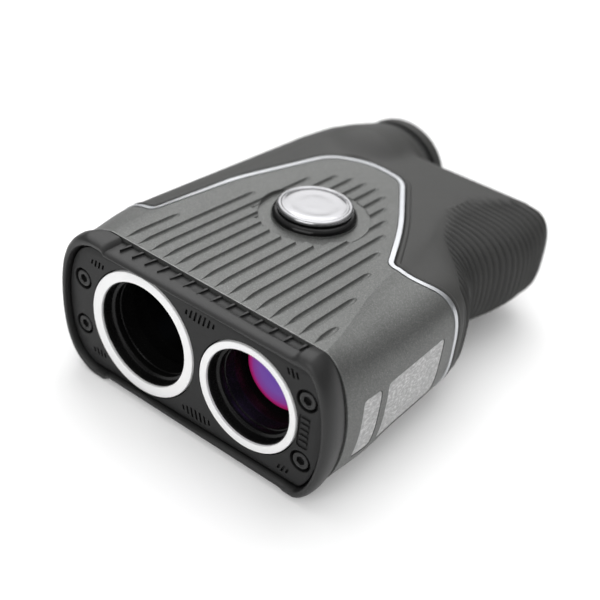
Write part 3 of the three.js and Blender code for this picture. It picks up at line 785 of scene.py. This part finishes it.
def eyecup():
    """A soft cup: a bead at its foot, a slightly waisted wall and a rolled lip that dips to the lens."""
    y0, y1, r = drum("eyecup")
    grip = EYE_BORE - 0.15
    profile = [
        (grip, y0), (r - 0.4, y0), (r - 0.1, y0 + 0.12), (r, y0 + 0.4), (r, y0 + 0.9), (r - 0.25, y0 + 1.2),
        (r - 0.25, y0 + 1.5), (r - 0.02, y0 + 1.8), (r, y0 + 2.6), (r - 0.12, y1 - 0.8),
        (r - 0.45, y1 - 0.25), (r - 1.0, y1), (r - 2.2, y1 - 0.1), (r - 3.6, y1 - 0.5), (10.6, y1 - 1.0),
        (10.0, y1 - 1.25), (9.8, y1 - 1.45), (9.8, y1 - 1.6), (grip, y1 - 1.6),
    ]
    return finish_mesh(turned("eyecup_fine", profile, EYE_X, steps=160), 40)


# ---------------- controls
def round_button(name, y, radius, ridges):
    """A rubber button: crowned face with raised concentric ridges, a stem and a retaining flange."""
    flange, face = radius + 0.8, BUTTON_FACE
    profile = [
        (0, -38.6), (1.6, -38.6), (1.6, -39.3), (flange, -39.3), (flange, -40.2), (radius, -40.2),
        (radius, face + 0.7), (radius - 0.12, face + 0.3), (radius - 0.5, face + 0.06),
    ]
    edge = radius - 0.9
    width = edge / (ridges + 1)
    for i in range(ridges):
        r = edge - i * edge / (ridges + 1)
        profile += [(r, face), (r - 0.25 * width, face + 0.28)]
        profile += [(r - 0.6 * width, face + 0.28), (r - 0.85 * width, face)]
    profile.append((0, face + 0.05))
    return finish_mesh(turned(name, profile, 0, y=y, axis="X"), 35)


def slope_slider():
    knob = block("slope_slider_fine", (-44.5, SLIDER_Y - 3.5, -2.2), (-42.4, SLIDER_Y + 3.5, 2.2))
    bevel = knob.modifiers.new("bevel", "BEVEL")
    bevel.width = 0.35 * MM
    bevel.segments = 3
    apply_modifiers(knob)
    for i in range(6):
        y = SLIDER_Y - 2.5 + i
        cut(knob, block("g", (-46, y - 0.22, -1.7), (-44.15, y + 0.22, 1.7)))
    add(knob, block("stem", (-42.6, SLIDER_Y - 1.3, -1.3), (-39.4, SLIDER_Y + 1.3, 1.3)))
    return finish_mesh(knob, 30)


# ---------------- battery cap
def battery_cap():
    rear = CAP_REAR
    profile = [
        (0, 97.6), (8.4, 97.6), (8.85, 98.0), (8.85, 98.9), (8.2, 99.0), (8.2, 100.2), (8.85, 100.3),
        (8.85, 102.4), (9.4, 102.5),
        (9.4, rear - 0.5), (9.25, rear - 0.15), (8.9, rear), (8.2, rear), (7.9, rear - 0.35),
        (0, rear - 0.35),
    ]
    cap = turned("battery_cap_fine", profile, CELL_X, steps=128)
    for i in range(24):
        a = 2 * math.pi * i / 24
        x, z = CELL_X + 9.75 * math.sin(a), 9.75 * math.cos(a)
        cut(cap, disc_solid("k", 0.6, 102.7, rear + 1, x, z, steps=16))
    for side in (-1, 1):
        lug_x = CELL_X + side * 6.8
        add(cap, block("lug", (lug_x - 0.5, rear - 0.5, -1.3), (lug_x + 0.5, rear + 2.6, 1.3)))
    cut(cap, disc_solid("pin", 0.75, 0, 40, 0, y=rear + 1.4, steps=24, axis="X"))
    return finish_mesh(cap, 30)


def cap_tab():
    rear = CAP_REAR
    profile = [
        (3.8, rear + 0.95), (3.95, rear + 0.8), (5.85, rear + 0.8), (6, rear + 0.95), (6, rear + 1.85),
        (5.85, rear + 2), (3.95, rear + 2), (3.8, rear + 1.85),
    ]
    tab = turned("battery_cap_tab_fine", profile, CELL_X, steps=96)
    keep(tab, block("half", (0, 90, 0), (40, 120, 20)))
    add(tab, disc_solid("barrel", 1.2, CELL_X - 6, CELL_X + 6, 0, y=rear + 1.4, steps=32, axis="X"))
    cut(tab, disc_solid("pin", 0.75, 0, 40, 0, y=rear + 1.4, steps=24, axis="X"))
    return finish_mesh(tab, 35)


# ---------------- materials
def grey(value, tint=(1, 1, 1)):
    return (value * tint[0], value * tint[1], value * tint[2], 1)


class Graph:
    """The nodes of a material or a world. An input takes a plain value or another node's output."""

    def __init__(self, owner):
        owner.use_nodes = True
        self.owner, self.nodes, self.links = owner, owner.node_tree.nodes, owner.node_tree.links

    def feed(self, node, inputs):
        for slot, value in inputs.items():
            if hasattr(value, "links"):
                self.links.new(value, node.inputs[slot])
            else:
                node.inputs[slot].default_value = value
        return node

    def node(self, kind, inputs=(), **settings):
        node = self.nodes.new("ShaderNode" + kind)
        for name, value in settings.items():
            setattr(node, name, value)
        return self.feed(node, dict(inputs))

    def shader(self, **inputs):
        """Sets the principled shader, where an underscore stands for a space, and returns the material."""
        inputs = {slot.replace("_", " "): value for slot, value in inputs.items()}
        self.feed(self.nodes["Principled BSDF"], inputs)
        return self.owner

    def coords(self):
        return self.node("TexCoord").outputs["Object"]

    def stretched(self, coords, scale):
        return self.node("Mapping", {"Scale": scale, "Vector": coords}).outputs["Vector"]

    def split(self, vector):
        return self.node("SeparateXYZ", {0: vector}).outputs

    def noise(self, coords, scale, detail):
        return self.node("TexNoise", {"Scale": scale, "Detail": detail, "Vector": coords}).outputs["Fac"]

    def maths(self, operation, first, second=0.0):
        return self.node("Math", {0: first, 1: second}, operation=operation).outputs[0]

    def length(self, *sides):
        """The square root of two squares added up."""
        squares = [self.maths("MULTIPLY", side, side) for side in sides]
        return self.maths("SQRT", self.maths("ADD", *squares))

    def mix(self, factor, first, second, blend="MIX"):
        inputs = {"Factor": factor, "A": first, "B": second}
        return self.node("Mix", inputs, data_type="RGBA", blend_type=blend).outputs["Result"]

    def ramp(self, source, *stops):
        """Colour by (position, colour) stops, where a plain number is a grey."""
        node = self.node("ValToRGB", {"Fac": source})
        elements = node.color_ramp.elements
        stops = [(place, colour if isinstance(colour, tuple) else grey(colour)) for place, colour in stops]
        elements[0].position, elements[1].position = stops[0][0], stops[-1][0]
        elements[0].color, elements[1].color = stops[0][1], stops[-1][1]
        for place, colour in stops[1:-1]:
            elements.new(place).color = colour
        return node.outputs["Color"]

    def bump(self, height, strength, depth, edge):
        """Relief of a depth in millimetres on a normal that is rounded at sharp edges."""
        inputs = {"Strength": strength, "Distance": depth * MM, "Height": height}
        if edge:
            inputs["Normal"] = self.node("Bevel", {"Radius": edge * MM}, samples=4).outputs["Normal"]
        return self.node("Bump", inputs).outputs["Normal"]

    def hollows(self, distance):
        """Painted shade: white on open surfaces and dark in hollows about as wide as the distance in
        millimetres.
        """
        node = self.node("AmbientOcclusion", {"Distance": distance * MM}, samples=6)
        return self.ramp(node.outputs["AO"], (0.35, 0.25), (0.9, 1))


def new_material(name):
    return Graph(bpy.data.materials.new(name))


def surface(name, light, dark, rough, metallic=0.0, grain=900.0, grain_depth=0.02, edge=0.15, coat=0.0,
            sheen=0.0, specular=0.5, hollow_shade=0.0):
    """A moulded or painted surface: tone drifts slowly, fine grain in bump and roughness, softened edges.
    Hollows narrower than the given width in millimetres are darkened with painted shade."""
    graph = new_material(name)
    coords = graph.coords()
    fine = graph.noise(coords, grain * 4, 2)
    tone = graph.ramp(graph.noise(coords, 55, 4), (0.3, dark), (0.7, light))
    if hollow_shade:
        # painted shade: the tone is multiplied by ambient occlusion so that narrow hollows come out darker
        tone = graph.mix(1.0, tone, graph.hollows(hollow_shade), "MULTIPLY")
    return graph.shader(
        Base_Color=tone, Roughness=graph.ramp(fine, (0.3, rough[0]), (0.7, rough[1])), Metallic=metallic,
        Specular_IOR_Level=specular, Coat_Weight=coat, Coat_Roughness=0.15, Sheen_Weight=sheen,
        Sheen_Roughness=0.5, Normal=graph.bump(fine, 0.35, grain_depth, edge),
    )


def flake_paint():
    """Grey paint with very fine metallic flake, and a painted highlight in lighter grey along the shell's
    front edge where it faces upwards.
    """
    graph = new_material("flake_paint")
    coords = graph.coords()
    cells = graph.node("TexVoronoi", {"Scale": 8500, "Vector": coords})
    flake = graph.node("SeparateColor", {"Color": cells.outputs["Color"]}).outputs
    tone = graph.ramp(
        flake["Red"], (0.0, grey(0.11, (0.98, 1.02, 0.97))), (0.5, grey(0.145, (0.99, 1.02, 0.98))),
        (0.9, 0.18), (1.0, 0.28),
    )
    drift = graph.ramp(graph.noise(coords, 45, 4), (0.3, 0.9), (0.7, 1.0))
    # painted highlight: lighter grey along the shell's front edge, with a wobbly border, only on faces that
    # point upwards
    highlight_to = (SHELL_FRONT + 0.57 + ORIGIN[1]) * MM
    wobble = graph.maths("MULTIPLY", graph.noise(coords, 420, 3), 0.5 * MM)
    past_edge = graph.maths("SUBTRACT", highlight_to, graph.maths("ADD", graph.split(coords)[1], wobble))
    edge_highlight = graph.ramp(graph.maths("DIVIDE", past_edge, 0.3 * MM), (0.2, 0), (1, 1))
    upward = graph.split(graph.node("NewGeometry").outputs["Normal"])[2]
    edge_highlight = graph.maths("MULTIPLY", edge_highlight, graph.ramp(upward, (0.3, 0), (0.8, 1)))
    return graph.shader(
        Base_Color=graph.mix(edge_highlight, graph.mix(1.0, tone, drift, "MULTIPLY"), grey(0.36)), Metallic=0.7,
        Roughness=graph.ramp(flake["Green"], (0, 0.4), (1, 0.58)),
        Normal=graph.bump(graph.noise(coords, 5200, 2), 0.35, 0.015, 0.14),
    )


def polished(name, tone, rough, brushed):
    graph = new_material(name)
    coords = graph.coords()
    lines = graph.noise(graph.stretched(coords, brushed), 900, 2)
    smudge = graph.noise(coords, 260, 4)
    return graph.shader(
        Base_Color=tone, Metallic=1.0, Roughness=graph.ramp(smudge, (0.35, rough), (0.75, rough + 0.14)),
        Normal=graph.bump(lines, 0.08, 0.01, 0.1),
    )


def coated_glass(name, tint, edge_tint):
    """Dark optical glass with a coloured anti-reflection coating that warms towards grazing angles."""
    graph = new_material(name)
    facing = graph.node("LayerWeight", {"Blend": 0.35}).outputs["Facing"]
    dust = graph.noise(graph.coords(), 700, 4)
    return graph.shader(
        Base_Color=graph.ramp(facing, (0.0, tint), (0.55, tint), (0.9, edge_tint)), Metallic=1.0,
        Roughness=graph.ramp(dust, (0.4, 0.03), (0.9, 0.12)),
    )


def violet_coating():
    """The receiver's coating: violet with a magenta rim, shown as a painted reflection of the studio light
    that glows for the camera only and is brighter towards the top.
    """
    graph = new_material("violet_coating")
    coords = graph.coords()
    x, _, z = graph.split(coords)
    across = graph.maths("SUBTRACT", x, (RECEIVER_X + ORIGIN[0]) * MM)
    over = graph.maths("SUBTRACT", z, ORIGIN[2] * MM)
    violet = graph.ramp(
        graph.maths("DIVIDE", graph.length(across, over), RECEIVER_GLASS * MM),
        (0.0, (0.19, 0.1, 0.52, 1)), (0.55, (0.26, 0.11, 0.52, 1)), (0.8, (0.34, 0.07, 0.42, 1)),
        (0.9, (0.52, 0.03, 0.26, 1)), (1.0, (0.4, 0.01, 0.1, 1)),
    )
    # painted reflection: the colour is brighter towards the top of the lens and darker towards the bottom
    height = graph.maths("DIVIDE", over, RECEIVER_GLASS * MM)
    painted_reflection_fade = graph.ramp(height, (0.0, 0.62), (0.35, 0.8), (0.8, 1.1))
    colour = graph.mix(1.0, violet, painted_reflection_fade, "MULTIPLY")
    # painted reflection: the colour glows for camera rays, in place of the studio light reflected in the
    # coating
    seen = graph.node("LightPath").outputs["Is Camera Ray"]
    return graph.shader(
        Base_Color=colour, Emission_Color=colour, Metallic=0.6,
        Emission_Strength=graph.maths("ADD", graph.maths("MULTIPLY", seen, 0.74), 0.03),
        Roughness=graph.ramp(graph.noise(coords, 700, 4), (0.4, 0.05), (0.9, 0.14)),
    )


def clear_glass():
    graph = new_material("clear_glass")
    dust = graph.noise(graph.coords(), 500, 4)
    return graph.shader(
        Base_Color=(0.9, 0.95, 0.95, 1), Transmission_Weight=0.9, IOR=1.5,
        Roughness=graph.ramp(dust, (0.4, 0.02), (0.9, 0.1)),
    )


def label_print():
    """A plain printed field: rows of faint, unreadable mottling on a slightly lighter grey."""
    graph = new_material("label_print")
    coords = graph.coords()
    mottle = graph.noise(graph.stretched(coords, (1, 0.7, 1.6)), 1500, 3)
    tone = graph.ramp(mottle, (0.35, 0.36), (0.52, 0.45), (0.68, 0.68))
    drift = graph.ramp(graph.noise(coords, 60, 3), (0.3, 0.88), (0.7, 1))
    return graph.shader(
        Base_Color=graph.mix(1.0, tone, drift, "MULTIPLY"), Metallic=0.35, Roughness=0.5,
        Normal=graph.bump(mottle, 0.25, 0.01, 0.1),
    )


# Rubber, bezel and plate get painted shade in hollows narrower than the last width given to them.
RUBBER = surface(
    "rubber", grey(0.036, (1, 1, 0.95)), grey(0.03, (1, 1, 0.96)), (0.52, 0.66), grain=1400,
    grain_depth=0.03, edge=0.2, sheen=0.02, specular=0.45, hollow_shade=2.2,
)
BEZEL = surface(
    "bezel_plastic", 0.016, 0.012, (0.38, 0.5), grain=1600, grain_depth=0.015, edge=0.25, specular=0.4,
    hollow_shade=1.2,
)
PLATE = surface(
    "plate_paint", grey(0.018, (0.98, 0.99, 1)), 0.014, (0.42, 0.54), grain=1800, grain_depth=0.012,
    edge=0.12, specular=0.2, hollow_shade=1.1,
)
GLOSS_BLACK = surface(
    "gloss_black", 0.005, 0.003, (0.12, 0.2), grain=700, grain_depth=0.004, edge=0.12, specular=0.25,
)
WHITE = surface("ring_white", 0.84, 0.8, (0.3, 0.42), grain=1500, grain_depth=0.006, edge=0.08)
MATTE_BLACK = surface(
    "matte_black", 0.005, 0.003, (0.2, 0.34), grain=1500, grain_depth=0.008, edge=0.08, specular=0.22,
)
SCREW = surface(
    "blackened_steel", 0.05, 0.035, (0.3, 0.45), metallic=0.8, grain=2200, grain_depth=0.01, edge=0.08,
)
BOARD = surface("circuit_board", (0.03, 0.16, 0.07, 1), (0.02, 0.11, 0.05, 1), (0.3, 0.45), edge=0)
CELL = surface(
    "cell_wrap", (0.06, 0.13, 0.3, 1), (0.05, 0.1, 0.25, 1), (0.25, 0.35), grain=700, grain_depth=0.005,
    edge=0.1, coat=0.5,
)
BRASS = polished("brass", (0.72, 0.54, 0.24, 1), 0.22, (1, 8, 1))
TRIM = polished("trim_silver", (0.54, 0.55, 0.57, 1), 0.32, (1, 1, 1))
CHROME = polished("disc_chrome", (0.36, 0.36, 0.37, 1), 0.14, (1, 6, 1))
STEEL = polished("steel", (0.5, 0.5, 0.52, 1), 0.28, (1, 10, 1))
PAINT = flake_paint()
LABEL = label_print()
VIOLET = violet_coating()
DARK_GLASS = coated_glass("dark_coating", (0.012, 0.014, 0.02, 1), (0.06, 0.06, 0.08, 1))
EYE_GLASS = coated_glass("eye_coating", (0.018, 0.034, 0.027, 1), (0.12, 0.15, 0.11, 1))
CLEAR = clear_glass()


def dress(obj, material, body, slot, *nodes):
    """Gives a piece its material and its body, and hides the CAD nodes that it stands for; the slot is not
    used.
    """
    obj.data.materials.clear()
    obj.data.materials.append(material)
    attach(obj, body)
    if nodes:
        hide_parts(*nodes)
    return obj


# ---------------- assembly
dress(front_shell(), PAINT, "casing", "shell", "front_shell")
panels = finish_mesh(label_field(0, 0.1, 0.33))
panels.name = "label_panels"
dress(panels, LABEL, "casing", "plate", "label_plate")
dress(silver_trim(), TRIM, "casing", "silver", "silver_trim")
dress(rubber_armour(), RUBBER, "casing", "rubber", "rubber_armour")
dress(front_bezel(), BEZEL, "casing", "bezel", "front_bezel")
dress(front_plate(), PLATE, "casing", "plate", "front_plate")
for number, (screw_x, screw_z) in enumerate(SCREWS, 1):
    screw = socket_screw(f"socket_screw_{number}", screw_x, screw_z)
    dress(screw, SCREW, "casing", "steel", f"bezel_screw_{number}")

for tube, x, ring_radii, walls in TUBES:
    ring = accent_ring(f"{tube}_ring_fine", x, *ring_radii)
    dress(ring, WHITE, "casing", "white", f"{tube}_accent_ring")
    barrel = bore(f"{tube}_bore", x, *walls)
    dress(barrel, MATTE_BLACK, "casing", "black", f"{tube}_barrel", f"{tube}_retaining_ring")
objective_glass = bulged_lens("objective_glass", OBJECTIVE_X, 11.8, 22.2, 2, 1.2)
dress(objective_glass, DARK_GLASS, "casing", "lens", "objective_lens")
receiver_glass = bulged_lens("receiver_glass", RECEIVER_X, RECEIVER_GLASS, 11.3, 1.5, 1.1)
dress(receiver_glass, VIOLET, "casing", "lens", "receiver_lens")

dress(magnet_disc(), CHROME, "casing", "chrome", "magnet_disc")
dress(seat_ring(), GLOSS_BLACK, "casing", "black", "disc_seat_ring")

dress(knurled_ring(), BEZEL, "diopter_ring", "bezel", "diopter_ring")
dress(eyecup(), RUBBER, "eyepiece", "rubber", "eyecup")
dress(bulged_lens("eye_glass", EYE_X, 10.1, 110.8, 2, -1.0), EYE_GLASS, "eyepiece", "lens", "eyepiece_lens")

for name, y, radius, ridges in BUTTONS:
    dress(round_button(f"{name}_fine", y, radius, ridges), RUBBER, name, "rubber", name)
dress(slope_slider(), BEZEL, "slope_slider", "bezel", "slope_slider")

dress(battery_cap(), BEZEL, "battery_cap", "bezel", "battery_cap")
dress(cap_tab(), STEEL, "cap_tab", "steel", "battery_cap_tab")

CARRIED = [
    (MATTE_BLACK, "main_housing", "optical_chassis", "prism_holder", "eyepiece_barrel", "battery_tube"),
    (STEEL, "cart_magnet", "fire_switch", "mode_switch", "slide_switch", "battery_spring", "battery_tab_pin"),
    (BOARD, "display_module", "detector_board", "main_board", "side_board"),
    (BRASS, "laser_diode", "detector"),
    (RUBBER, "front_seal", "battery_cap_seal"),
    (CLEAR, "prism_block"),
    (CELL, "battery"),
]
for material, *names in CARRIED:
    for name in names:
        materials = frame["nodes"][name].data.materials
        materials.clear()
        materials.append(material)


# ---------------- stage, light and camera
FLOOR_GLOW = 0.125  # lifts the paper towards white, as an over-lit sweep looks
FOCUS_BEFORE_MIDDLE = 0.0415  # metres from the middle of the object towards the camera


def floor():
    """Pale paper that turns into an evenly lit white sweep far from the object."""
    mesh = bpy.data.meshes.new("floor")
    mesh.from_pydata([(-3, -3, 0), (3, -3, 0), (3, 3, 0), (-3, 3, 0)], [], [(0, 1, 2, 3)])
    graph = new_material("floor_paper")
    coords = graph.coords()
    tone = graph.ramp(graph.noise(coords, 3, 2), (0.3, 0.86), (0.7, 0.88))
    x, y, _ = graph.split(coords)
    far = graph.ramp(graph.length(x, y), (0.45, 0), (1.0, 1))
    glow = graph.maths("ADD", graph.maths("MULTIPLY", far, 0.95 - FLOOR_GLOW), FLOOR_GLOW)
    mesh.materials.append(graph.shader(
        Base_Color=graph.mix(far, tone, grey(0)), Emission_Color=grey(1), Emission_Strength=glow,
        Roughness=0.9, Specular_IOR_Level=0.1,
    ))
    new_object("floor", mesh)


def area_light(name, place, target, size, power):
    data = bpy.data.lights.new(name, "AREA")
    data.shape = "RECTANGLE"
    data.size, data.size_y = size
    data.energy = power
    obj = new_object(name, data)
    obj.location = place
    obj.rotation_euler = (Vector(target) - Vector(place)).to_track_quat("-Z", "Y").to_euler()


def world(seen, overhead, horizon):
    """White where the camera sees it; as a light it is bright overhead and dim towards the horizon."""
    scene_world = bpy.data.worlds.new("studio")
    bpy.context.scene.world = scene_world
    graph = Graph(scene_world)
    height = graph.split(graph.node("TexCoord").outputs["Generated"])[2]
    glow = graph.ramp(height, (0.0, horizon), (0.2, horizon), (0.8, overhead))
    direct = graph.node("LightPath").outputs["Is Camera Ray"]
    graph.feed(graph.nodes["Background"], {"Color": graph.mix(direct, glow, grey(seen))})


def near_side(viewer):
    """A point on the side of the object that faces the viewer, wherever the viewer stands."""
    middle = new_object("middle", None)
    middle.location = [(low + high) / 2 for low, high in zip(*cad_box)]
    aim = middle.constraints.new("TRACK_TO")
    aim.target = viewer
    aim.track_axis, aim.up_axis = "TRACK_Z", "UP_Y"
    near = new_object("near_side", None)
    near.parent = middle
    near.location = (0, 0, FOCUS_BEFORE_MIDDLE)
    return near


def camera():
    """At 34.6 degrees round from the front, 34.25 above, tipped 6.2 degrees about its own axis."""
    azimuth, elevation, roll = math.radians(34.6), math.radians(34.25), math.radians(6.2)
    run = math.cos(elevation)
    forward = Vector((-math.sin(azimuth) * run, math.cos(azimuth) * run, -math.sin(elevation)))
    level = Vector((math.cos(azimuth), math.sin(azimuth), 0))
    over = level.cross(forward)
    right = level * math.cos(roll) + over * math.sin(roll)
    up = right.cross(forward)
    data = bpy.data.cameras.new("camera")
    data.lens, data.sensor_width = 58.89, 36
    data.clip_start = 0.01
    data.dof.use_dof = True
    data.dof.aperture_fstop = 16
    obj = new_object("camera", data)
    place = Vector(((np.array([112.5, -124.9, 133.7]) + ORIGIN) * MM).tolist())
    rotation = Matrix((right, up, -forward)).transposed()
    obj.matrix_world = Matrix.Translation(place) @ rotation.to_4x4()
    bpy.context.scene.camera = obj
    data.dof.focus_object = near_side(obj)


floor()
world(0.95, 0.9, 0.06)
area_light("top", (-0.1, 0.2, 0.85), (0, 0, 0), (0.8, 0.7), 3.0)
area_light("back", (-0.5, 0.58, 0.62), (0, 0, 0.02), (0.9, 0.7), 3.1)
area_light("front", (0.1, -0.8, 0.5), (0, 0, 0.01), (0.8, 0.5), 3.4)
camera()
bpy.context.scene.view_settings.view_transform = "Standard"
